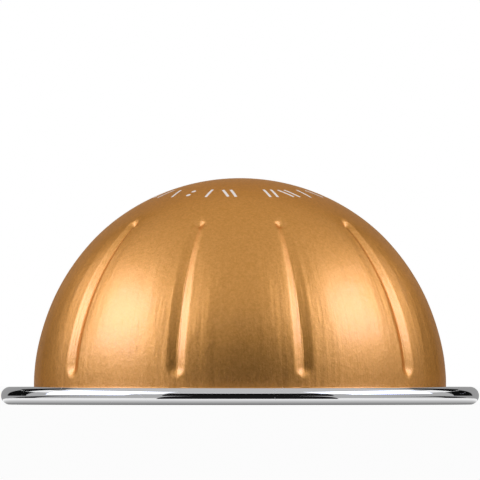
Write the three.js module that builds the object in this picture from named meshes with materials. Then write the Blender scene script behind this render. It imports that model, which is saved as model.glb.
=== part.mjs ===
// A domed coffee pod for a centrifugal brewer, standing on its rim with the dome up.
//
// The pod is a sealed pack of two pieces. The cup is drawn from one aluminium sheet: a dome with
// pressed flutes, a flat flange at its foot, and a rolled edge that the brewer clamps. Nothing can
// be seen inside it, so the cup and the coffee that fills it are one solid. The foil lid is welded
// under the flange. Units are millimetres, +Z is up, and the origin is on the axis at the level
// that the rolled edge rests on. Angles are in degrees, turned about +Z from the front (-Y).
import * as THREE from 'three';
import { mergeVertices } from 'three/addons/utils/BufferGeometryUtils.js';

// Overall form
const RIM_DIAMETER = 61;
const POD_HEIGHT = 28.9;
const DOME_RADIUS = 26.3;

// Sheet and its bends, each radius measured on the inside of the bend
const SHEET = 0.25;
const FOOT_BEND = 0.4;
const ROLL_DIAMETER = 2.26;
const NECK_BEND = 0.18;
const NECK_TURN = 70;
const ROLL_SLIT = 0.2;

// Flutes pressed into the dome, each a V with hipped ends, whose walls keep one slope as it
// narrows upwards. Beside them the sheet is drawn in a little.
const FLUTE_COUNT = 10;
const FLUTE_WIDTH = 2.4;
const FLUTE_DEPTH = 0.55;
const FLUTE_FOOT = 2;
const FLUTE_HEAD = 52;
const FLUTE_END = 1.3;
const DRAW_IN_WIDTH = 9;
const DRAW_IN_DEPTH = 0.2;

// Foil lid
const FOIL = 0.08;
const LID_BULGE = 0.4;
const LID_EDGE_CLEARANCE = 0.15;

// Fineness of the facets
const COLUMNS_PER_WALL = 2;
const BEND_STEP = 36;
const DOME_STEP = 6;
const FLUTE_END_STEP = 1.5;
const LID_COLUMNS = 72;
const LID_BULGE_STEPS = 3;

const GOLD_LACQUER = { color: 0xb98446, roughness: 0.38, metalness: 0.9 };
const BARE_FOIL = { color: 0xc9cacb, roughness: 0.3, metalness: 1 };

const radians = THREE.MathUtils.degToRad;
const degrees = THREE.MathUtils.radToDeg;

// Sizes that follow from the ones above
const DOME_CENTRE = POD_HEIGHT - DOME_RADIUS;
const FLUTE_PITCH = 360 / FLUTE_COUNT;
const fluteEdge = degrees(FLUTE_WIDTH / 2 / DOME_RADIUS);
const drawInEdge = degrees(DRAW_IN_WIDTH / 2 / DOME_RADIUS);
const rollRadius = (ROLL_DIAMETER - SHEET) / 2;
const rollCentre = new THREE.Vector2(RIM_DIAMETER / 2 - ROLL_DIAMETER / 2, ROLL_DIAMETER / 2);
const neckRadius = NECK_BEND + SHEET / 2;
const neckRise = 1 - Math.sin(radians(90 - NECK_TURN));
const neckReach = Math.cos(radians(90 - NECK_TURN));
const flangeMiddle = rollCentre.y - rollRadius * (1 - neckRise) + neckRadius * neckRise;
const flangeEnd = rollCentre.x - (rollRadius + neckRadius) * neckReach;
const flangeUnderside = flangeMiddle - SHEET / 2;
const flangeStart = DOME_RADIUS + FOOT_BEND;

// A pen that walks the middle line of a bent sheet in the (radius, height) plane and notes the
// sheet's two faces as it goes: the one to the left of its heading and the one to the right.
class SheetPen {
  constructor(at, heading) {
    this.at = at.clone();
    this.heading = heading;
    this.left = [];
    this.right = [];
    this.mark();
  }

  offset(distance) {
    const side = radians(this.heading + 90);
    return new THREE.Vector2(Math.cos(side), Math.sin(side)).multiplyScalar(distance).add(this.at);
  }

  mark() {
    this.left.push(this.offset(SHEET / 2));
    this.right.push(this.offset(-SHEET / 2));
  }

  straight(length) {
    const ahead = radians(this.heading);
    this.at.x += length * Math.cos(ahead);
    this.at.y += length * Math.sin(ahead);
    this.mark();
  }

  // A positive turn goes to the left, about a centre that lies radius away on that side.
  turn(angle, radius) {
    const steps = Math.ceil(Math.abs(angle) / BEND_STEP);
    const centre = this.offset(Math.sign(angle) * radius);
    for (let i = 0; i < steps; i++) {
      this.at.rotateAround(centre, radians(angle / steps));
      this.heading += angle / steps;
      this.mark();
    }
  }
}

// Past its highest point the rolled edge turns on until its end is one slit above the flange.
function lastTurn() {
  const endRise = flangeMiddle + SHEET + ROLL_SLIT - rollCentre.y;
  return 90 - degrees(Math.asin(endRise / rollRadius));
}

// Foot bend, flange, neck and rolled edge as one length of sheet. The roll is turned through its
// lowest, outermost and highest points, so that it has its full size whatever the facets are.
function drawRim() {
  const footRadius = FOOT_BEND + SHEET / 2;
  const wallMiddle = DOME_RADIUS - SHEET / 2;
  const pen = new SheetPen(new THREE.Vector2(wallMiddle, flangeMiddle + footRadius), -90);
  pen.turn(90, footRadius);
  const pastFoot = pen.right.length - 1;
  pen.straight(flangeEnd - flangeStart);
  pen.turn(-NECK_TURN, neckRadius);
  pen.turn(NECK_TURN, rollRadius);
  pen.turn(90, rollRadius);
  pen.turn(90, rollRadius);
  pen.turn(lastTurn(), rollRadius);
  return { upperFace: pen.left, underside: pen.right.slice(pastFoot) };
}

// Heights of the dome's rows of facets, as angles of climb from its foot to its crown, with
// closer rows where the flutes run out.
function domeClimbs() {
  const end = degrees(FLUTE_END / DOME_RADIUS);
  const climbs = [0];
  const climbTo = (climb, step) => {
    const from = climbs.at(-1);
    const steps = Math.ceil((climb - from) / step);
    for (let i = 1; i <= steps; i++) climbs.push(from + ((climb - from) * i) / steps);
  };
  climbTo(FLUTE_FOOT, FLUTE_FOOT);
  climbTo(FLUTE_FOOT + end, FLUTE_END_STEP);
  climbTo(FLUTE_HEAD - end, DOME_STEP);
  climbTo(FLUTE_HEAD, FLUTE_END_STEP);
  climbTo(90, DOME_STEP);
  return climbs;
}

// The cup's outline, from the middle of its underside out round the rolled edge and up the dome.
function cupOutline() {
  const rim = drawRim();
  const dome = domeClimbs().map((climb) => {
    const angle = radians(climb);
    return new THREE.Vector2(DOME_RADIUS * Math.cos(angle), DOME_CENTRE + DOME_RADIUS * Math.sin(angle));
  });
  dome[dome.length - 1].x = 0;
  return [new THREE.Vector2(0, flangeUnderside), ...rim.underside, ...rim.upperFace.reverse(), ...dome];
}

// A revolved outline as a closed body that stands on +Z, with its seam and poles merged.
function revolve(outline, columns) {
  const geometry = new THREE.LatheGeometry(outline, columns);
  geometry.rotateX(Math.PI / 2);
  geometry.deleteAttribute('normal');
  geometry.deleteAttribute('uv');
  return mergeVertices(geometry, 1e-4);
}

const smooth = (x) => THREE.MathUtils.smoothstep(x, 0, 1);

// How far the press has pushed the dome in, at a turn from a flute's middle and a climb. The V
// is as deep as its walls and its hipped ends allow.
function pressedIn(turn, climb) {
  const along = DOME_RADIUS * radians(Math.min(climb - FLUTE_FOOT, FLUTE_HEAD - climb));
  if (along <= 0) return 0;
  const taper = Math.cos(radians(climb));
  const groove = FLUTE_DEPTH * Math.max(Math.min(1 - turn / fluteEdge, along / FLUTE_END), 0);
  const drawIn = DRAW_IN_DEPTH * smooth(1 - turn / drawInEdge) * smooth(along / DRAW_IN_WIDTH);
  return taper * (groove + drawIn);
}

// Turns of the columns of facets, from a flute's middle to halfway to the next flute. A column
// lies on the flute's edge and one on the edge of what is drawn in.
function columnTurns() {
  const turns = [0];
  for (const edge of [fluteEdge, drawInEdge, FLUTE_PITCH / 2]) {
    const from = turns.at(-1);
    for (let i = 1; i <= COLUMNS_PER_WALL; i++) {
      turns.push(from + ((edge - from) * i) / COLUMNS_PER_WALL);
    }
  }
  return turns;
}

// Moves the evenly turned columns to their places, then presses the flutes towards the dome's
// centre.
function pressFlutes(geometry, turns) {
  const evenStep = FLUTE_PITCH / 2 / (turns.length - 1);
  const position = geometry.getAttribute('position');
  const point = new THREE.Vector3();
  const centre = new THREE.Vector3(0, 0, DOME_CENTRE);
  for (let i = 0; i < position.count; i++) {
    point.fromBufferAttribute(position, i);
    const radius = Math.hypot(point.x, point.y);
    const even = degrees(Math.atan2(point.x, -point.y));
    const flute = (Math.floor(even / FLUTE_PITCH) + 0.5) * FLUTE_PITCH;
    const turn = turns[Math.round(Math.abs(even - flute) / evenStep)];
    const angle = radians(flute + Math.sign(even - flute) * turn);
    point.set(radius * Math.sin(angle), -radius * Math.cos(angle), point.z);
    const climb = degrees(Math.atan2(point.z - DOME_CENTRE, radius));
    const outward = point.clone().sub(centre).normalize();
    point.addScaledVector(outward, -pressedIn(turn, climb));
    position.setXYZ(i, point.x, point.y, point.z);
  }
  return geometry;
}

// The foil is flat where it is welded under the flange and bulges down over the mouth.
function lidOutline() {
  const face = (level) => {
    const points = [];
    for (let i = 0; i <= LID_BULGE_STEPS; i++) {
      const share = i / LID_BULGE_STEPS;
      points.push(new THREE.Vector2(flangeStart * share, level - LID_BULGE * (1 - share * share)));
    }
    points.push(new THREE.Vector2(flangeEnd - LID_EDGE_CLEARANCE, level));
    return points;
  };
  return [...face(flangeUnderside - FOIL), ...face(flangeUnderside).reverse()];
}

function piece(name, geometry, finish) {
  const mesh = new THREE.Mesh(geometry, new THREE.MeshStandardMaterial(finish));
  mesh.name = name;
  return mesh;
}

const turns = columnTurns();
const columns = FLUTE_COUNT * 2 * (turns.length - 1);
const drawnCup = pressFlutes(revolve(cupOutline(), columns), turns);
const foilLid = revolve(lidOutline(), LID_COLUMNS);

const pod = new THREE.Group();
pod.add(piece('drawn_cup', drawnCup, GOLD_LACQUER));
pod.add(piece('foil_lid', foilLid, BARE_FOIL));

export default pod;
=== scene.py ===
# A domed coffee pod that stands on its rim, dressed for a studio photograph.
#
# Lengths are in metres, +Z is up, and the pod's axis is the Z axis. The front of the pod faces -Y.
# A turn is an angle about +Z from the front. A climb is an angle up from the level: on the dome it
# is seen from the dome's centre, and in the studio from the pod's foot. Angles are in degrees until
# they are handed to Blender.
import math

import bpy
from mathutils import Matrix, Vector


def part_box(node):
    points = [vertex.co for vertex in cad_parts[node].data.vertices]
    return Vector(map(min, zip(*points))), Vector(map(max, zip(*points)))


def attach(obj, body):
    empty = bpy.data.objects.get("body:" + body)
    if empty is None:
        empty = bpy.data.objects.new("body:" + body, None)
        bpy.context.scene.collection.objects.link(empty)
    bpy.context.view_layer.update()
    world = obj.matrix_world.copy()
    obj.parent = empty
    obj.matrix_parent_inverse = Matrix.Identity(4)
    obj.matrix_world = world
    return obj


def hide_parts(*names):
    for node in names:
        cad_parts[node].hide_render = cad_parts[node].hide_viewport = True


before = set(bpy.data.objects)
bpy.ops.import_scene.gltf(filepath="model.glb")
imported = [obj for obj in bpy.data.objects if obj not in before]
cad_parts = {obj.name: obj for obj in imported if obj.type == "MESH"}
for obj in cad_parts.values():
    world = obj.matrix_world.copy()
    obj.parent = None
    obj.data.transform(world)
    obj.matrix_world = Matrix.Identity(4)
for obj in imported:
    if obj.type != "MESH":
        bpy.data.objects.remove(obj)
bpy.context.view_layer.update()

MM = 0.001

# The cup, drawn from one sheet: a dome, a foot bend, a flat flange, a neck and a rolled edge.
# Each bend's radius is measured on the inside of the bend.
CUP_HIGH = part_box("drawn_cup")[1]
DOME_RADIUS = 26.3 * MM
SHEET = 0.25 * MM
FOOT_BEND = 0.4 * MM
ROLL_DIAMETER = 2.26 * MM
NECK_BEND = 0.18 * MM
NECK_TURN = 70
ROLL_SLIT = 0.2 * MM

DOME_CENTRE = Vector((0, 0, CUP_HIGH.z - DOME_RADIUS))
ROLL_RADIUS = (ROLL_DIAMETER - SHEET) / 2
ROLL_AXIS_REACH = CUP_HIGH.x - ROLL_DIAMETER / 2
NECK_RADIUS = NECK_BEND + SHEET / 2
NECK_LEAN = math.radians(90 - NECK_TURN)
FLANGE_MIDDLE = (
    ROLL_DIAMETER / 2 - ROLL_RADIUS * math.sin(NECK_LEAN) + NECK_RADIUS * (1 - math.sin(NECK_LEAN))
)
FLANGE_TOP = FLANGE_MIDDLE + SHEET / 2
FLANGE_UNDERSIDE = FLANGE_MIDDLE - SHEET / 2
FLANGE_START = DOME_RADIUS + FOOT_BEND
FLANGE_END = ROLL_AXIS_REACH - (ROLL_RADIUS + NECK_RADIUS) * math.cos(NECK_LEAN)

# The flutes, each a V with a rounded bottom and round ends, and the shallow draw beside them
FLUTE_COUNT = 10
FLUTE_WIDTH = 2.4 * MM
FLUTE_DEPTH = 0.55 * MM
FLUTE_FOOT = 2
FLUTE_HEAD = 52
FLUTE_BOTTOM_ROUND = 0.24 * MM
FLUTE_SHOULDER_ROUND = 0.09 * MM
FLUTE_NOSE_RADIUS = 0.82 * MM
FLUTE_NOSE_ROUND = 0.1 * MM
FLUTE_NOSE_SLOPE = 0.57
FLUTE_NOSE_BLEND = 0.3 * MM
DRAW_IN_WIDTH = 9 * MM
DRAW_IN_DEPTH = 0.2 * MM

FLUTE_SPACING = 360 / FLUTE_COUNT
FLUTE_SLOPE = FLUTE_DEPTH / (FLUTE_WIDTH / 2)
FLUTE_EDGE_TURN = math.degrees(FLUTE_WIDTH / 2 / DOME_RADIUS)
FLUTE_FOOT_HEIGHT = DOME_CENTRE.z + DOME_RADIUS * math.sin(math.radians(FLUTE_FOOT))
DRAW_IN_TURN = math.degrees(DRAW_IN_WIDTH / 2 / DOME_RADIUS)
PRESSED_GROUP = "pressed"

# The foil lid, welded under the flange
FOIL = 0.08 * MM
LID_BULGE = 0.4 * MM
LID_EDGE_CLEARANCE = 0.15 * MM

# The printed ring of plain marks round the crown
MARK_RING_RADIUS = 10.2 * MM
MARK_LENGTH = 2.3 * MM
MARK_STROKE = 0.33 * MM
MARK_SPACING = 1.0 * MM
MARK_SLANT = 24
MARK_PITCH = 15
DOT_RADIUS = 0.9 * MARK_STROKE
DOT_SPACING = MARK_LENGTH / 2
MARK_INK = 0.015 * MM
MARK_ORDER = (None, "pair", "slants", "bar", "slant", "dots", "bar", "slants")

# Fineness of the meshes. The finest columns reach a little past a flute's edge.
FINE_TURN = 1.4 * FLUTE_EDGE_TURN
FINE_COLUMNS = 12
DRAW_COLUMNS = 6
PLAIN_COLUMNS = 8
CROWN_ROWS = 24
HEAD_ARC = 5
HEAD_ROWS = 18
FLUTE_ROWS = 70
BEND_ROWS = 5
ROLL_ROWS = 22
LID_ROWS = 40
LID_COLUMNS = 180
DOT_SIDES = 20
MARK_CUTS = 6
SMOOTH_ANGLE = 40
WELD_TOLERANCE = 0.001 * MM
ON_DOME_TOLERANCE = 5 * WELD_TOLERANCE

# Colours: the red, green and blue that a surface sends back, from 0 to 1
GOLD = (0.84, 0.40, 0.10)
DEEP_GOLD = (0.68, 0.305, 0.06)
GOLD_EDGE = (0.92, 0.52, 0.14)
BARE_ALUMINIUM = (0.86, 0.86, 0.87)
FOIL_SILVER = (0.78, 0.78, 0.79)
PRINT_WHITE = (0.86, 0.85, 0.83)
STUDIO_WHITE = (1.0, 1.0, 1.0)

# Finishes: the range of each roughness, and the depth of each bump
GOLD_ROUGHNESS = (0.40, 0.48)
ALUMINIUM_ROUGHNESS = (0.03, 0.07)
SCUFFED_ROUGHNESS = 0.25
FOIL_ROUGHNESS = (0.2, 0.3)
INK_ROUGHNESS = (0.4, 0.55)
INK_THINNING = (0.25, 0)
SWELL_DEPTH = 0.10 * MM
STREAK_DEPTH = 0.035 * MM
WALL_LINE_DEPTH = 0.09 * MM
WRINKLE_DEPTH = 0.03 * MM
TOOTH_DEPTH = 0.02 * MM
SCRATCH_DEPTH = 0.003 * MM
ROLLED_LINE_DEPTH = 0.0001 * MM
FOIL_DENT_DEPTH = 0.05 * MM
FOIL_TOOTH_DEPTH = 0.0006 * MM

# The streaks fade out between these heights, because the crown was hardly drawn.
STREAKS_END = 0.85 * CUP_HIGH.z
STREAKS_START = 0.6 * CUP_HIGH.z

# The middle of a noise's range, its limits in use, and the shape of the hairline scuffs, whose
# turn is in radians
NOISE_MIDDLE = 0.5
NOISE_LIMITS = (0.3, 0.7)
SCUFF_TURN = (0.5, 0.9, 0.4)
SCUFF_STRETCH = (1, 0.16, 1)
SCUFFED_ABOVE = 0.58

# The camera: a long lens, a little above the floor
FIELD_WIDTH = 61.27 * MM
CAMERA_DISTANCE = 1.5
CAMERA_HEIGHT = 3.5 * MM
AIM_HEIGHT = 21.0 * MM
SENSOR_WIDTH = 36.0
CAMERA_REACH = 20.0

# The floor and the sky
FLOOR_SIZE = 6.0
FLOOR_GLOW = 0.85
FLOOR_MIRRORED_GLOW = 0.2
FLOOR_PAINT = (0.9, 0.9, 0.9)
SKY_LEVEL = 0.9

# The soft boxes, each with its turn, climb, width and height, colour and radiance. They are cool,
# because the gold warms what it mirrors.
SOFT_BOX_DISTANCE = 0.6
SOFT_BOXES = (
    ("left_soft_box", -82, 30, (0.58, 0.42), (0.68, 0.74, 1.0), 1.75),
    ("left_core", -77, 29, (0.32, 0.30), (0.23, 0.32, 1.0), 5.6),
    ("left_front_box", -51, 36, (0.20, 0.28), (0.8, 0.85, 1.0), 1.1),
    ("right_soft_box", 82, 34, (0.58, 0.34), (0.68, 0.74, 1.0), 1.75),
    ("right_core", 77, 32, (0.30, 0.25), (0.23, 0.32, 1.0), 5.6),
    ("right_front_box", 51, 37, (0.20, 0.26), (0.8, 0.85, 1.0), 1.1),
)

# The cards, each with the turns between which it stands and between which its foot lies on the
# floor, the climb of its top, and its level
ALL_ROUND = (0, 360)
CARD_DISTANCE = 0.8
CARD_COLUMNS = 24
CLOTH_LEVEL = 0.01
CLOTH_FOOT = (-21, 25)
FLAG_LEVEL = 0.005
FLAG_CLIMB = 22
CARDS = (
    ("front_cloth", (-37, 45), CLOTH_FOOT, 32, CLOTH_LEVEL),
    ("left_side_card", (-124, -37), (-64, -21), 24, 0.46),
    ("right_side_card", (45, 124), (25, 64), 24, 0.46),
    ("left_flag", (-150, -124), (-80, -64), FLAG_CLIMB, FLAG_LEVEL),
    ("right_flag", (124, 150), (64, 80), FLAG_CLIMB, FLAG_LEVEL),
    ("back_card", (150, 210), (80, 280), 52, 0.33),
)
HIGH_FLAGS = (("left_high_flag", (-156, -134)), ("right_high_flag", (134, 156)))
HIGH_FLAG_CLIMB = 42
HIGH_FLAG_DISTANCE = 0.98 * CARD_DISTANCE
CEILING_HOLE = 1.0 * MM
CEILING_REACH = 1.3
CEILING_HEIGHT = 0.95
CEILING_LEVEL = 0.57

# The cards that lie on the floor, and the painted shade on the floor card under the rolled edge,
# darker towards that edge
FOOT_HEIGHT = 0.02 * MM
FOOT_START = 32.2 * MM
HEM_HEIGHT = 0.03 * MM
HEM_START = 31.4 * MM
UNDER_RIM_START = 28.5 * MM
SHADE_REACH = (29.6 * MM, 31.0 * MM)
SHADE_LEVELS = (0.12, 0.92)


# Drawing and spinning sections


class SectionPen:
    """Draws a section line in the XZ plane: its straights are extruded and its bends are spun."""

    def __init__(self, name, reach, height, heading):
        bpy.ops.object.select_all(action="DESELECT")
        bpy.ops.mesh.primitive_plane_add(size=MM)
        self.piece = bpy.context.object
        self.piece.name = name
        bpy.ops.object.mode_set(mode="EDIT")
        bpy.ops.mesh.select_all(action="SELECT")
        bpy.ops.mesh.merge(type="CENTER")
        self.at = Vector((reach, 0, height))
        self.heading = heading
        bpy.ops.transform.translate(value=self.at)

    def ahead(self, turned=0):
        angle = math.radians(self.heading + turned)
        return Vector((math.cos(angle), 0, math.sin(angle)))

    def straight(self, length):
        step = self.ahead() * length
        bpy.ops.mesh.extrude_vertices_move(TRANSFORM_OT_translate={"value": step})
        self.at += step

    def bend(self, angle, radius, rows):
        """A positive angle bends to the left, about a centre that lies radius away on that side."""
        centre = self.at + self.ahead(math.copysign(90, angle)) * radius
        bpy.ops.mesh.spin(steps=rows, angle=math.radians(angle), center=centre, axis=(0, 1, 0))
        self.heading += angle
        self.at = centre - self.ahead(math.copysign(90, angle)) * radius


def spin_round(turn, columns):
    """Spins what is selected about the pod's axis, and leaves the last section selected."""
    bpy.ops.mesh.spin(steps=columns, angle=math.radians(turn), center=(0, 0, 0), axis=(0, 0, -1))


def close_up():
    """Merges the seams and poles and turns every face outwards."""
    bpy.ops.mesh.select_all(action="SELECT")
    bpy.ops.mesh.remove_doubles(threshold=WELD_TOLERANCE)
    bpy.ops.mesh.normals_make_consistent(inside=False)
    bpy.ops.object.mode_set(mode="OBJECT")
    bpy.ops.object.shade_smooth_by_angle(angle=math.radians(SMOOTH_ANGLE))


def select_only(*pieces):
    """Selects the pieces and makes the first of them the active one."""
    bpy.ops.object.select_all(action="DESELECT")
    for piece in pieces:
        piece.select_set(True)
    bpy.context.view_layer.objects.active = pieces[0]


def join_pieces(pieces):
    """Joins pieces into the first of them and puts its place into its mesh."""
    select_only(*pieces)
    if len(pieces) > 1:
        bpy.ops.object.join()
    bpy.ops.object.transform_apply(location=True, rotation=True, scale=True)
    return pieces[0]


# The cup


def draw_cup_section():
    """The cup's outline from its crown down over the rolled edge and in to the axis again."""
    pen = SectionPen("cup_shell", 0, CUP_HIGH.z, 0)
    pen.bend(FLUTE_HEAD - 90, DOME_RADIUS, CROWN_ROWS)
    pen.bend(-HEAD_ARC, DOME_RADIUS, HEAD_ROWS)
    pen.bend(HEAD_ARC - FLUTE_HEAD, DOME_RADIUS, FLUTE_ROWS)
    pen.straight(pen.at.z - FLANGE_TOP - FOOT_BEND)
    pen.bend(90, FOOT_BEND, BEND_ROWS)
    pen.straight(FLANGE_END - FLANGE_START)
    pen.bend(-NECK_TURN, NECK_BEND + SHEET, BEND_ROWS)
    end_rise = FLANGE_MIDDLE + SHEET + ROLL_SLIT - ROLL_DIAMETER / 2
    last_turn = 90 - math.degrees(math.asin(end_rise / ROLL_RADIUS))
    stages = (NECK_TURN, 90, 90, last_turn)
    for stage in stages:
        pen.bend(stage, ROLL_RADIUS - SHEET / 2, BEND_ROWS)
    pen.bend(-180, SHEET / 2, BEND_ROWS)
    for stage in reversed(stages):
        pen.bend(-stage, ROLL_RADIUS + SHEET / 2, round(ROLL_ROWS * stage / 180))
    pen.bend(NECK_TURN, NECK_BEND, BEND_ROWS)
    pen.straight(pen.at.x)
    return pen.piece


def spin_cup():
    """One flute's share of the cup, finest at the flutes, then copied round and merged."""
    cup = draw_cup_section()
    bpy.ops.mesh.select_all(action="SELECT")
    drawn = DRAW_IN_TURN - FINE_TURN
    plain = FLUTE_SPACING - 2 * DRAW_IN_TURN
    spin_round(FINE_TURN, FINE_COLUMNS)
    spin_round(drawn, DRAW_COLUMNS)
    spin_round(plain, PLAIN_COLUMNS)
    spin_round(drawn, DRAW_COLUMNS)
    spin_round(FINE_TURN, FINE_COLUMNS)
    bpy.ops.mesh.select_all(action="SELECT")
    rest = math.radians(360 - FLUTE_SPACING)
    bpy.ops.mesh.spin(
        steps=FLUTE_COUNT - 1, angle=rest, center=(0, 0, 0), axis=(0, 0, 1), dupli=True
    )
    close_up()
    return cup


def softened(value, rounding):
    """The larger of a value and nothing, with the corner between them rounded."""
    if abs(value) >= rounding:
        return max(0, value)
    return (value + rounding) ** 2 / (4 * rounding)


def pressed_in(place):
    """How far the press has pushed a point of the dome in: a flute's walls slope down to a line
    that stops half a width short of each end, and its ends are round. The punch's nose leaves
    a round dimple at the head. One flute lies on +X, so turns are counted from there."""
    reach = math.hypot(place.x, place.y)
    climb = math.degrees(math.atan2(place.z - DOME_CENTRE.z, reach))
    turn = math.degrees(math.atan2(place.y, place.x)) % FLUTE_SPACING
    turn = min(turn, FLUTE_SPACING - turn)
    taper = math.cos(math.radians(climb))
    across = DOME_RADIUS * math.radians(turn) * taper
    along = DOME_RADIUS * math.radians(min(climb - FLUTE_FOOT, FLUTE_HEAD - climb))
    half = FLUTE_WIDTH / 2 * taper
    past_end = max(0, half - along)
    off_line = math.hypot(across, past_end, FLUTE_BOTTOM_ROUND * taper**2)
    walls = FLUTE_SLOPE * (half - off_line)
    below_nose = DOME_RADIUS * math.radians(FLUTE_HEAD - climb) - FLUTE_NOSE_RADIUS
    off_nose = math.hypot(across, below_nose, FLUTE_NOSE_ROUND)
    dimple = FLUTE_NOSE_SLOPE * (FLUTE_NOSE_RADIUS - off_nose)
    deeper = dimple + softened(walls - dimple, FLUTE_NOSE_BLEND)
    share = max(0, 1 - turn / DRAW_IN_TURN)
    ramp = min(1, max(0, along / DRAW_IN_WIDTH))
    drawn = DRAW_IN_DEPTH * taper * smooth_step(share) * smooth_step(ramp)
    return softened(deeper, FLUTE_SHOULDER_ROUND) + drawn


def smooth_step(share):
    return share * share * (3 - 2 * share)


def press_flutes(cup):
    """Weighs each point of the dome by how far it is pressed in, and displaces it by that."""
    deepest = FLUTE_DEPTH + DRAW_IN_DEPTH
    group = cup.vertex_groups.new(name=PRESSED_GROUP)
    for point in cup.data.vertices:
        on_dome = abs((point.co - DOME_CENTRE).length - DOME_RADIUS) < ON_DOME_TOLERANCE
        if on_dome and point.co.z > DOME_CENTRE.z:
            group.add([point.index], pressed_in(point.co) / deepest, "REPLACE")
    press = cup.modifiers.new("press", "DISPLACE")
    press.direction = "NORMAL"
    press.mid_level = 0
    press.strength = -deepest
    press.vertex_group = PRESSED_GROUP
    select_only(cup)
    bpy.ops.object.modifier_apply(modifier=press.name)
    cup.vertex_groups.remove(cup.vertex_groups[PRESSED_GROUP])


def finish_cup(cup, lacquer, bare):
    """Gold lacquer on the dome, and bare metal from the foot bend to the rolled edge."""
    cup.data.materials.append(lacquer)
    cup.data.materials.append(bare)
    bend_top = FLANGE_TOP + FOOT_BEND
    for face in cup.data.polygons:
        reach = math.hypot(face.center.x, face.center.y)
        on_dome = face.center.z > bend_top and reach < DOME_RADIUS
        face.material_index = 0 if on_dome else 1


# The foil lid


def spin_lid():
    """The foil: a flat weld ring and a membrane that bulges down over the mouth."""
    bulge_radius = (FLANGE_START**2 + LID_BULGE**2) / (2 * LID_BULGE)
    bulge_angle = math.degrees(math.asin(FLANGE_START / bulge_radius))
    ring = FLANGE_END - LID_EDGE_CLEARANCE - FLANGE_START
    pen = SectionPen("foil_membrane", 0, FLANGE_UNDERSIDE - FOIL - LID_BULGE, 0)
    pen.bend(bulge_angle, bulge_radius, LID_ROWS)
    pen.heading = 0
    pen.straight(ring)
    pen.heading = 90
    pen.straight(FOIL)
    pen.heading = 180
    pen.straight(ring)
    pen.heading = 180 + bulge_angle
    pen.bend(-bulge_angle, bulge_radius, LID_ROWS)
    bpy.ops.mesh.select_all(action="SELECT")
    spin_round(360, LID_COLUMNS)
    close_up()
    return pen.piece


# The printed marks


def draw_strokes(offsets, slant):
    """Strokes side by side, drawn flat above the crown on the +X side of the ring."""
    strokes = []
    for offset in offsets:
        bpy.ops.mesh.primitive_plane_add(
            size=1,
            location=(MARK_RING_RADIUS, offset, CUP_HIGH.z),
            rotation=(0, 0, math.radians(slant)),
        )
        stroke = bpy.context.object
        stroke.scale = (MARK_LENGTH, MARK_STROKE, 1)
        strokes.append(stroke)
    return strokes


def draw_dots():
    """Two dots, one further out than the other."""
    dots = []
    for offset in (-DOT_SPACING / 2, DOT_SPACING / 2):
        bpy.ops.mesh.primitive_circle_add(
            vertices=DOT_SIDES,
            radius=DOT_RADIUS,
            fill_type="NGON",
            location=(MARK_RING_RADIUS + offset, 0, CUP_HIGH.z),
        )
        dots.append(bpy.context.object)
    return dots


def draw_mark(kind):
    """The shapes of one mark: two dots, or one or two strokes, straight or slanted."""
    if kind == "dots":
        return draw_dots()
    doubled = kind in ("pair", "slants")
    offsets = (-MARK_SPACING / 2, MARK_SPACING / 2) if doubled else (0,)
    slant = MARK_SLANT if kind in ("slant", "slants") else 0
    return draw_strokes(offsets, slant)


def place_mark(kind, slot):
    """One mark as one mesh, turned to its slot in the ring."""
    mark = join_pieces(draw_mark(kind))
    mark.rotation_euler.z = math.radians(MARK_PITCH * (slot + 0.5) - 90)
    bpy.ops.object.transform_apply(rotation=True)
    return mark


def lay_ink(printed, cup):
    """Drops flat marks onto the dome and gives them the thickness of ink."""
    lay = printed.modifiers.new("lay", "SHRINKWRAP")
    lay.target = cup
    lay.wrap_method = "PROJECT"
    lay.use_project_z = True
    lay.use_negative_direction = True
    lay.use_positive_direction = False
    ink = printed.modifiers.new("ink", "SOLIDIFY")
    ink.thickness = MARK_INK
    ink.offset = 1
    for modifier in (lay.name, ink.name):
        bpy.ops.object.modifier_apply(modifier=modifier)


def print_marks(cup):
    """A ring of plain strokes and dots, printed on the dome round its crown."""
    slots = range(round(360 / MARK_PITCH))
    kinds = [MARK_ORDER[slot % len(MARK_ORDER)] for slot in slots]
    printed = join_pieces([place_mark(kind, slot) for slot, kind in enumerate(kinds) if kind])
    printed.name = "crown_marks"
    bpy.ops.object.mode_set(mode="EDIT")
    bpy.ops.mesh.select_all(action="SELECT")
    bpy.ops.mesh.subdivide(number_cuts=MARK_CUTS)
    bpy.ops.object.mode_set(mode="OBJECT")
    lay_ink(printed, cup)
    return printed


# Shader helpers

FLOAT = "NodeSocketFloat"
VECTOR = "NodeSocketVector"


def new_material(name):
    """A material with its nodes, its links and its Principled shader."""
    material = bpy.data.materials.new(name)
    material.use_nodes = True
    nodes = material.node_tree.nodes
    return material, nodes, material.node_tree.links, nodes["Principled BSDF"]


def new_group(name, inputs, outputs):
    """An empty node group with the named sockets. Each socket is a name, a kind and a value."""
    tree = bpy.data.node_groups.new(name, "ShaderNodeTree")
    for label, kind, value in inputs:
        socket = tree.interface.new_socket(label, in_out="INPUT", socket_type=kind)
        if value is not None:
            socket.default_value = value
    for label, kind in outputs:
        tree.interface.new_socket(label, in_out="OUTPUT", socket_type=kind)
    source = tree.nodes.new("NodeGroupInput")
    result = tree.nodes.new("NodeGroupOutput")
    return tree, source, result


def place_group(nodes, links, place, tree, **values):
    """A group in a material, fed with the place on the piece and with the material's values."""
    node = nodes.new("ShaderNodeGroup")
    node.node_tree = tree
    for label, value in values.items():
        node.inputs[label].default_value = value
    links.new(place, node.inputs["Place"])
    return node.outputs[0]


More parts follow.
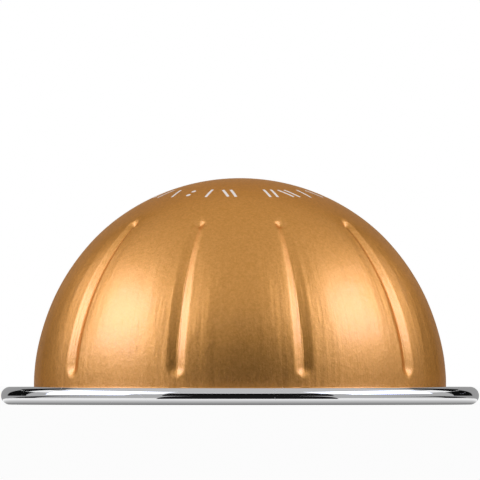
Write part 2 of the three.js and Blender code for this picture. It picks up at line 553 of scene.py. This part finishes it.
def math_node(nodes, links, operation, first, second):
    """A Math node whose two inputs are links or plain numbers."""
    node = nodes.new("ShaderNodeMath")
    node.operation = operation
    for socket, value in zip(node.inputs, (first, second)):
        if isinstance(value, (int, float)):
            socket.default_value = value
        else:
            links.new(value, socket)
    return node.outputs[0]


def map_range(nodes, links, value, before, after=(0, 1)):
    """Maps one range of a value onto another, and holds it between the new limits."""
    node = nodes.new("ShaderNodeMapRange")
    for label, limit in zip(("From Min", "From Max", "To Min", "To Max"), (*before, *after)):
        node.inputs[label].default_value = limit
    links.new(value, node.inputs["Value"])
    return node.outputs["Result"]


def spread_noise(nodes, links, noise, limits=(0, 1)):
    """Spreads a noise between two limits, using the part of its range that it mostly fills."""
    return map_range(nodes, links, noise, NOISE_LIMITS, limits)


def object_place(nodes):
    return nodes.new("ShaderNodeTexCoord").outputs["Object"]


def stack_bumps(nodes, links, *layers):
    """Bumps laid one over another. Each layer is a height from 0 to 1 and its depth."""
    normal = None
    for height, depth in layers:
        bump = nodes.new("ShaderNodeBump")
        bump.inputs["Strength"].default_value = 1
        bump.inputs["Distance"].default_value = depth
        links.new(height, bump.inputs["Height"])
        if normal is not None:
            links.new(normal, bump.inputs["Normal"])
        normal = bump.outputs["Normal"]
    return normal


def blend_colours(nodes, links, share, first, second):
    """The first colour where the share is 0, turning to the second where it is 1."""
    node = nodes.new("ShaderNodeMix")
    node.data_type = "RGBA"
    colours = [socket for socket in node.inputs if socket.type == "RGBA"]
    for socket, colour in zip(colours, (first, second)):
        socket.default_value = (*colour, 1)
    links.new(share, node.inputs["Factor"])
    return [socket for socket in node.outputs if socket.type == "RGBA"][0]


# Patterns that several finishes use


def streak_group():
    """Streaks that follow the metal: fine round the axis and long along it, or the other way."""
    tree, source, result = new_group(
        "Metal streaks",
        [
            ("Place", VECTOR, None),
            ("Around", FLOAT, 60.0),
            ("Up", FLOAT, 20.0),
            ("Detail", FLOAT, 3.0),
        ],
        [("Height", FLOAT)],
    )
    nodes, links = tree.nodes, tree.links
    split = nodes.new("ShaderNodeSeparateXYZ")
    flat = nodes.new("ShaderNodeCombineXYZ")
    unit = nodes.new("ShaderNodeVectorMath")
    unit.operation = "NORMALIZE"
    spread = nodes.new("ShaderNodeVectorMath")
    spread.operation = "SCALE"
    parts = nodes.new("ShaderNodeSeparateXYZ")
    joined = nodes.new("ShaderNodeCombineXYZ")
    noise = nodes.new("ShaderNodeTexNoise")
    noise.inputs["Scale"].default_value = 1
    links.new(source.outputs["Place"], split.inputs[0])
    links.new(split.outputs["X"], flat.inputs["X"])
    links.new(split.outputs["Y"], flat.inputs["Y"])
    links.new(flat.outputs[0], unit.inputs[0])
    links.new(unit.outputs[0], spread.inputs[0])
    links.new(source.outputs["Around"], spread.inputs["Scale"])
    links.new(spread.outputs[0], parts.inputs[0])
    rise = math_node(nodes, links, "MULTIPLY", split.outputs["Z"], source.outputs["Up"])
    links.new(parts.outputs["X"], joined.inputs["X"])
    links.new(parts.outputs["Y"], joined.inputs["Y"])
    links.new(rise, joined.inputs["Z"])
    links.new(joined.outputs[0], noise.inputs["Vector"])
    links.new(source.outputs["Detail"], noise.inputs["Detail"])
    links.new(noise.outputs[0], result.inputs["Height"])
    return tree


def grain_group():
    """Even, fine grain: the tooth of lacquer, foil and ink."""
    tree, source, result = new_group(
        "Fine grain",
        [("Place", VECTOR, None), ("Scale", FLOAT, 3000.0), ("Roughness", FLOAT, 0.6)],
        [("Height", FLOAT)],
    )
    noise = tree.nodes.new("ShaderNodeTexNoise")
    noise.inputs["Detail"].default_value = 4
    tree.links.new(source.outputs["Place"], noise.inputs["Vector"])
    tree.links.new(source.outputs["Scale"], noise.inputs["Scale"])
    tree.links.new(source.outputs["Roughness"], noise.inputs["Roughness"])
    tree.links.new(noise.outputs[0], result.inputs["Height"])
    return tree


def scuff_group():
    """A few hairline scratches, as thin lines of a stretched noise that is near its middle."""
    tree, source, result = new_group(
        "Hairline scuffs",
        [
            ("Place", VECTOR, None),
            ("Scale", FLOAT, 90.0),
            ("Width", FLOAT, 0.004),
            ("Amount", FLOAT, 0.5),
        ],
        [("Mask", FLOAT)],
    )
    nodes, links = tree.nodes, tree.links
    turn = nodes.new("ShaderNodeMapping")
    turn.inputs["Rotation"].default_value = SCUFF_TURN
    turn.inputs["Scale"].default_value = SCUFF_STRETCH
    lines = nodes.new("ShaderNodeTexNoise")
    lines.inputs["Detail"].default_value = 1
    patches = nodes.new("ShaderNodeTexNoise")
    patches.inputs["Detail"].default_value = 2
    links.new(source.outputs["Place"], turn.inputs["Vector"])
    links.new(turn.outputs[0], lines.inputs["Vector"])
    links.new(source.outputs["Scale"], lines.inputs["Scale"])
    links.new(source.outputs["Place"], patches.inputs["Vector"])
    links.new(source.outputs["Scale"], patches.inputs["Scale"])
    off_middle = math_node(nodes, links, "SUBTRACT", lines.outputs[0], NOISE_MIDDLE)
    distance = math_node(nodes, links, "ABSOLUTE", off_middle, 0)
    thin = math_node(nodes, links, "LESS_THAN", distance, source.outputs["Width"])
    some = math_node(nodes, links, "GREATER_THAN", patches.outputs[0], SCUFFED_ABOVE)
    both = math_node(nodes, links, "MULTIPLY", thin, some)
    scaled = math_node(nodes, links, "MULTIPLY", both, source.outputs["Amount"])
    links.new(scaled, result.inputs["Mask"])
    return tree


def flute_group():
    """1 along the middle of each flute, falling to 0 at its edges and at its foot."""
    tree, source, result = new_group("Flute walls", [("Place", VECTOR, None)], [("Mask", FLOAT)])
    nodes, links = tree.nodes, tree.links
    split = nodes.new("ShaderNodeSeparateXYZ")
    links.new(source.outputs["Place"], split.inputs[0])
    turn = math_node(nodes, links, "ARCTAN2", split.outputs["Y"], split.outputs["X"])
    off_middle = math_node(nodes, links, "PINGPONG", turn, math.radians(FLUTE_SPACING / 2))
    share = math_node(nodes, links, "DIVIDE", off_middle, math.radians(FLUTE_EDGE_TURN))
    within = math_node(nodes, links, "MINIMUM", share, 1.0)
    across = math_node(nodes, links, "SUBTRACT", 1.0, within)
    heights = (FLUTE_FOOT_HEIGHT, FLUTE_FOOT_HEIGHT + FLUTE_WIDTH)
    up = map_range(nodes, links, split.outputs["Z"], heights)
    links.new(math_node(nodes, links, "MULTIPLY", across, up), result.inputs["Mask"])
    return tree


# Finishes of the pod


def below_crown(nodes, links, place):
    """1 up the sides of the dome and 0 on its crown."""
    split = nodes.new("ShaderNodeSeparateXYZ")
    links.new(place, split.inputs[0])
    return map_range(nodes, links, split.outputs["Z"], (STREAKS_END, STREAKS_START))


def gold_lacquer(streaks, grain, scuffs, flutes):
    """Satin gold lacquer over aluminium that was drawn up the dome."""
    material, nodes, links, shader = new_material("gold lacquer")
    place = object_place(nodes)
    waves = place_group(nodes, links, place, streaks, Around=14.0, Up=120.0, Detail=1.0)
    long_streaks = place_group(nodes, links, place, streaks, Around=42.0, Up=170.0, Detail=2.0)
    wall_lines = place_group(nodes, links, place, streaks, Around=130.0, Up=230.0, Detail=1.0)
    tooth = place_group(nodes, links, place, grain, Scale=3000.0, Roughness=0.7)
    wrinkles = place_group(nodes, links, place, grain, Scale=1100.0, Roughness=0.5)
    scratches = place_group(nodes, links, place, scuffs, Scale=120.0, Width=0.003, Amount=0.6)
    in_flute = place_group(nodes, links, place, flutes)
    sides = below_crown(nodes, links, place)
    flute_sides = math_node(nodes, links, "MULTIPLY", in_flute, sides)
    bumps = stack_bumps(
        nodes,
        links,
        (math_node(nodes, links, "MULTIPLY", waves, sides), SWELL_DEPTH),
        (math_node(nodes, links, "MULTIPLY", long_streaks, sides), STREAK_DEPTH),
        (math_node(nodes, links, "MULTIPLY", wall_lines, flute_sides), WALL_LINE_DEPTH),
        (wrinkles, WRINKLE_DEPTH),
        (tooth, TOOTH_DEPTH),
        (scratches, -SCRATCH_DEPTH),
    )
    tint = blend_colours(nodes, links, spread_noise(nodes, links, tooth), DEEP_GOLD, GOLD)
    rough = spread_noise(nodes, links, tooth, GOLD_ROUGHNESS)
    links.new(tint, shader.inputs["Base Color"])
    links.new(rough, shader.inputs["Roughness"])
    links.new(bumps, shader.inputs["Normal"])
    shader.inputs["Metallic"].default_value = 0.9
    shader.inputs["Coat Weight"].default_value = 0.25
    shader.inputs["Coat Roughness"].default_value = 0.2
    shader.inputs["Specular IOR Level"].default_value = 0.2
    shader.inputs["Specular Tint"].default_value = (*GOLD_EDGE, 1)
    return material


def bare_aluminium(streaks, scuffs):
    """Bright rolled aluminium with faint lines round it and a few scuffs."""
    material, nodes, links, shader = new_material("bare aluminium")
    place = object_place(nodes)
    lines = place_group(nodes, links, place, streaks, Around=3.0, Up=3000.0, Detail=2.0)
    scratches = place_group(nodes, links, place, scuffs, Scale=260.0, Width=0.004, Amount=1.0)
    worn = math_node(nodes, links, "MULTIPLY", scratches, SCUFFED_ROUGHNESS)
    rough = spread_noise(nodes, links, lines, ALUMINIUM_ROUGHNESS)
    tint = blend_colours(nodes, links, worn, BARE_ALUMINIUM, FOIL_SILVER)
    bumps = stack_bumps(nodes, links, (lines, ROLLED_LINE_DEPTH))
    links.new(tint, shader.inputs["Base Color"])
    links.new(math_node(nodes, links, "ADD", rough, worn), shader.inputs["Roughness"])
    links.new(bumps, shader.inputs["Normal"])
    shader.inputs["Metallic"].default_value = 1
    return material


def bright_foil(grain, scuffs):
    """Thin foil with the faint unevenness of a sheet stretched over its contents."""
    material, nodes, links, shader = new_material("bright foil")
    place = object_place(nodes)
    dents = place_group(nodes, links, place, grain, Scale=220.0, Roughness=0.5)
    tooth = place_group(nodes, links, place, grain, Scale=4000.0, Roughness=0.6)
    scratches = place_group(nodes, links, place, scuffs, Scale=150.0, Width=0.004, Amount=1.0)
    rough = spread_noise(nodes, links, tooth, FOIL_ROUGHNESS)
    tint = blend_colours(nodes, links, scratches, FOIL_SILVER, BARE_ALUMINIUM)
    bumps = stack_bumps(nodes, links, (dents, FOIL_DENT_DEPTH), (tooth, FOIL_TOOTH_DEPTH))
    links.new(tint, shader.inputs["Base Color"])
    links.new(rough, shader.inputs["Roughness"])
    links.new(bumps, shader.inputs["Normal"])
    shader.inputs["Metallic"].default_value = 1
    return material


def white_ink(grain):
    """Matt white ink, a little thin where the metal's tooth shows through."""
    material, nodes, links, shader = new_material("white ink")
    place = object_place(nodes)
    tooth = place_group(nodes, links, place, grain, Scale=3500.0, Roughness=0.7)
    thin = spread_noise(nodes, links, tooth, INK_THINNING)
    rough = spread_noise(nodes, links, tooth, INK_ROUGHNESS)
    links.new(blend_colours(nodes, links, thin, PRINT_WHITE, GOLD), shader.inputs["Base Color"])
    links.new(rough, shader.inputs["Roughness"])
    return material


# The studio: camera, world, floor, soft boxes and the cards that the pod mirrors


def set_camera():
    place = Vector((0, -CAMERA_DISTANCE, CAMERA_HEIGHT))
    aim = Vector((0, 0, AIM_HEIGHT)) - place
    turned = aim.to_track_quat("-Z", "Y").to_euler()
    bpy.ops.object.camera_add(location=place, rotation=turned)
    camera = bpy.context.object
    camera.data.sensor_width = SENSOR_WIDTH
    camera.data.lens = SENSOR_WIDTH * CAMERA_DISTANCE / FIELD_WIDTH
    camera.data.clip_end = CAMERA_REACH
    bpy.context.scene.camera = camera


def seen_share(nodes, links):
    """1 for rays from the camera, off what is glossy or through glass, and 0 for the rest."""
    rays = nodes.new("ShaderNodeLightPath").outputs
    seen = math_node(nodes, links, "MAXIMUM", rays["Is Camera Ray"], rays["Is Glossy Ray"])
    return math_node(nodes, links, "MAXIMUM", seen, rays["Is Transmission Ray"])


def light_world():
    """Pure white where it is seen, and a little less where it lights what is matt."""
    world = bpy.data.worlds.new("white studio")
    bpy.context.scene.world = world
    world.use_nodes = True
    nodes, links = world.node_tree.nodes, world.node_tree.links
    sky = nodes["Background"]
    sky.inputs["Color"].default_value = (*STUDIO_WHITE, 1)
    sky.inputs["Strength"].default_value = SKY_LEVEL
    backdrop = nodes.new("ShaderNodeBackground")
    backdrop.inputs["Color"].default_value = (*STUDIO_WHITE, 1)
    either = nodes.new("ShaderNodeMixShader")
    links.new(seen_share(nodes, links), either.inputs["Fac"])
    links.new(sky.outputs[0], either.inputs[1])
    links.new(backdrop.outputs[0], either.inputs[2])
    links.new(either.outputs[0], nodes["World Output"].inputs["Surface"])


def lay_floor():
    """A white floor that glows a little, so that it shows white and still takes a shadow."""
    bpy.ops.object.select_all(action="DESELECT")
    bpy.ops.mesh.primitive_plane_add(size=FLOOR_SIZE)
    floor = bpy.context.object
    floor.name = "floor"
    material, nodes, links, shader = new_material("white floor")
    shader.inputs["Base Color"].default_value = (*FLOOR_PAINT, 1)
    shader.inputs["Roughness"].default_value = 0.9
    shader.inputs["Specular IOR Level"].default_value = 0
    glow = nodes.new("ShaderNodeEmission")
    glow.inputs["Color"].default_value = (*STUDIO_WHITE, 1)
    mix = nodes.new("ShaderNodeMixShader")
    rays = nodes.new("ShaderNodeLightPath").outputs
    seen = math_node(nodes, links, "MULTIPLY", rays["Is Camera Ray"], FLOOR_GLOW)
    clear = math_node(nodes, links, "MULTIPLY", rays["Is Transmission Ray"], FLOOR_GLOW)
    mirrored = math_node(nodes, links, "MULTIPLY", rays["Is Glossy Ray"], FLOOR_MIRRORED_GLOW)
    share = math_node(nodes, links, "MAXIMUM", seen, clear)
    share = math_node(nodes, links, "MAXIMUM", share, mirrored)
    links.new(share, mix.inputs["Fac"])
    links.new(shader.outputs[0], mix.inputs[1])
    links.new(glow.outputs[0], mix.inputs[2])
    links.new(mix.outputs[0], nodes["Material Output"].inputs["Surface"])
    floor.data.materials.append(material)


def round_place(turn, climb, distance):
    """A point at a turn from the front and a climb above the floor."""
    flat = distance * math.cos(math.radians(climb))
    angle = math.radians(turn - 90)
    height = distance * math.sin(math.radians(climb))
    return Vector((flat * math.cos(angle), flat * math.sin(angle), height))


def hang_soft_box(name, turn, climb, size, colour, radiance):
    """A lamp that faces the pod and lights only what is glossy. Its power follows from the
    radiance of its face and the size of that face."""
    place = round_place(turn, climb, SOFT_BOX_DISTANCE)
    bpy.ops.object.light_add(type="AREA", location=place)
    box = bpy.context.object
    box.name = name
    box.rotation_euler = (-place).to_track_quat("-Z", "Y").to_euler()
    width, height = size
    box.data.shape = "RECTANGLE"
    box.data.size = width
    box.data.size_y = height
    box.data.color = colour
    box.data.energy = radiance * math.pi * width * height
    box.visible_camera = False
    box.visible_diffuse = False


def card_material(level):
    material, nodes, links, shader = new_material("card %.2f" % level)
    glow = nodes.new("ShaderNodeEmission")
    glow.inputs["Color"].default_value = (level, level, level, 1)
    links.new(glow.outputs[0], nodes["Material Output"].inputs["Surface"])
    nodes.remove(shader)
    return material


def spin_card(pen, turns, level):
    """Spins a section between two turns, as a card that shows only in reflections."""
    first, last = turns
    bpy.ops.mesh.select_all(action="SELECT")
    spin_round(last - first, CARD_COLUMNS)
    bpy.ops.object.mode_set(mode="OBJECT")
    card = pen.piece
    card.rotation_euler.z = math.radians(first - 90)
    card.data.materials.append(card_material(level))
    card.visible_camera = False
    card.visible_diffuse = False
    card.visible_shadow = False
    card.visible_transmission = False
    return card


def stand_card(name, turns, low, high, level, distance=CARD_DISTANCE):
    """A card that stands round the pod, between the heights of two climbs at CARD_DISTANCE."""
    bottom, top = (CARD_DISTANCE * math.tan(math.radians(climb)) for climb in (low, high))
    pen = SectionPen(name, distance, bottom, 90)
    pen.straight(top - bottom)
    return spin_card(pen, turns, level)


def lay_card(name, turns, inner, outer, height, level):
    """A level card, between two distances from the pod's axis."""
    pen = SectionPen(name, inner, height, 0)
    pen.straight(outer - inner)
    return spin_card(pen, turns, level)


def shade_inwards(card):
    """Darkens a floor card towards the rolled edge: painted shade that stands in for the pod's own
    shade on the floor.
    """
    tree = card.data.materials[0].node_tree
    reach = tree.nodes.new("ShaderNodeVectorMath")
    reach.operation = "LENGTH"
    tree.links.new(object_place(tree.nodes), reach.inputs[0])
    distance = reach.outputs["Value"]
    shade = map_range(tree.nodes, tree.links, distance, SHADE_REACH, SHADE_LEVELS)
    tree.links.new(shade, tree.nodes["Emission"].inputs["Strength"])


def set_cards():
    """Cards round the pod. Each also lies on the floor, from where it shows in the rolled edge."""
    for name, turns, floor_turns, climb, level in CARDS:
        stand_card(name, turns, 0, climb, level)
        lay_card(name + "_foot", floor_turns, FOOT_START, CARD_DISTANCE, FOOT_HEIGHT, level)
    for name, turns in HIGH_FLAGS:
        stand_card(name, turns, FLAG_CLIMB, HIGH_FLAG_CLIMB, FLAG_LEVEL, HIGH_FLAG_DISTANCE)
    lay_card(
        "ceiling_card", ALL_ROUND, CEILING_HOLE, CEILING_REACH, CEILING_HEIGHT, CEILING_LEVEL
    )
    # A glowing floor ring under the rolled edge, with painted shade that darkens it towards that
    # edge
    ring = lay_card("floor_under_rim", ALL_ROUND, UNDER_RIM_START, FOOT_START, FOOT_HEIGHT, 1)
    shade_inwards(ring)
    lay_card("front_cloth_hem", CLOTH_FOOT, HEM_START, FOOT_START, HEM_HEIGHT, CLOTH_LEVEL)


# Putting it together


def build_pod():
    streaks = streak_group()
    grain = grain_group()
    scuffs = scuff_group()
    flutes = flute_group()
    bare = bare_aluminium(streaks, scuffs)

    cup = spin_cup()
    marks = print_marks(cup)
    press_flutes(cup)
    finish_cup(cup, gold_lacquer(streaks, grain, scuffs, flutes), bare)
    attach(cup, "root")
    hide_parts("drawn_cup")

    marks.data.materials.append(white_ink(grain))
    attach(marks, "root")

    lid = spin_lid()
    lid.data.materials.append(bright_foil(grain, scuffs))
    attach(lid, "root")
    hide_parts("foil_lid")


build_pod()
set_camera()
light_world()
lay_floor()
for soft_box in SOFT_BOXES:
    hang_soft_box(*soft_box)
set_cards()
bpy.context.scene.view_settings.view_transform = "Standard"
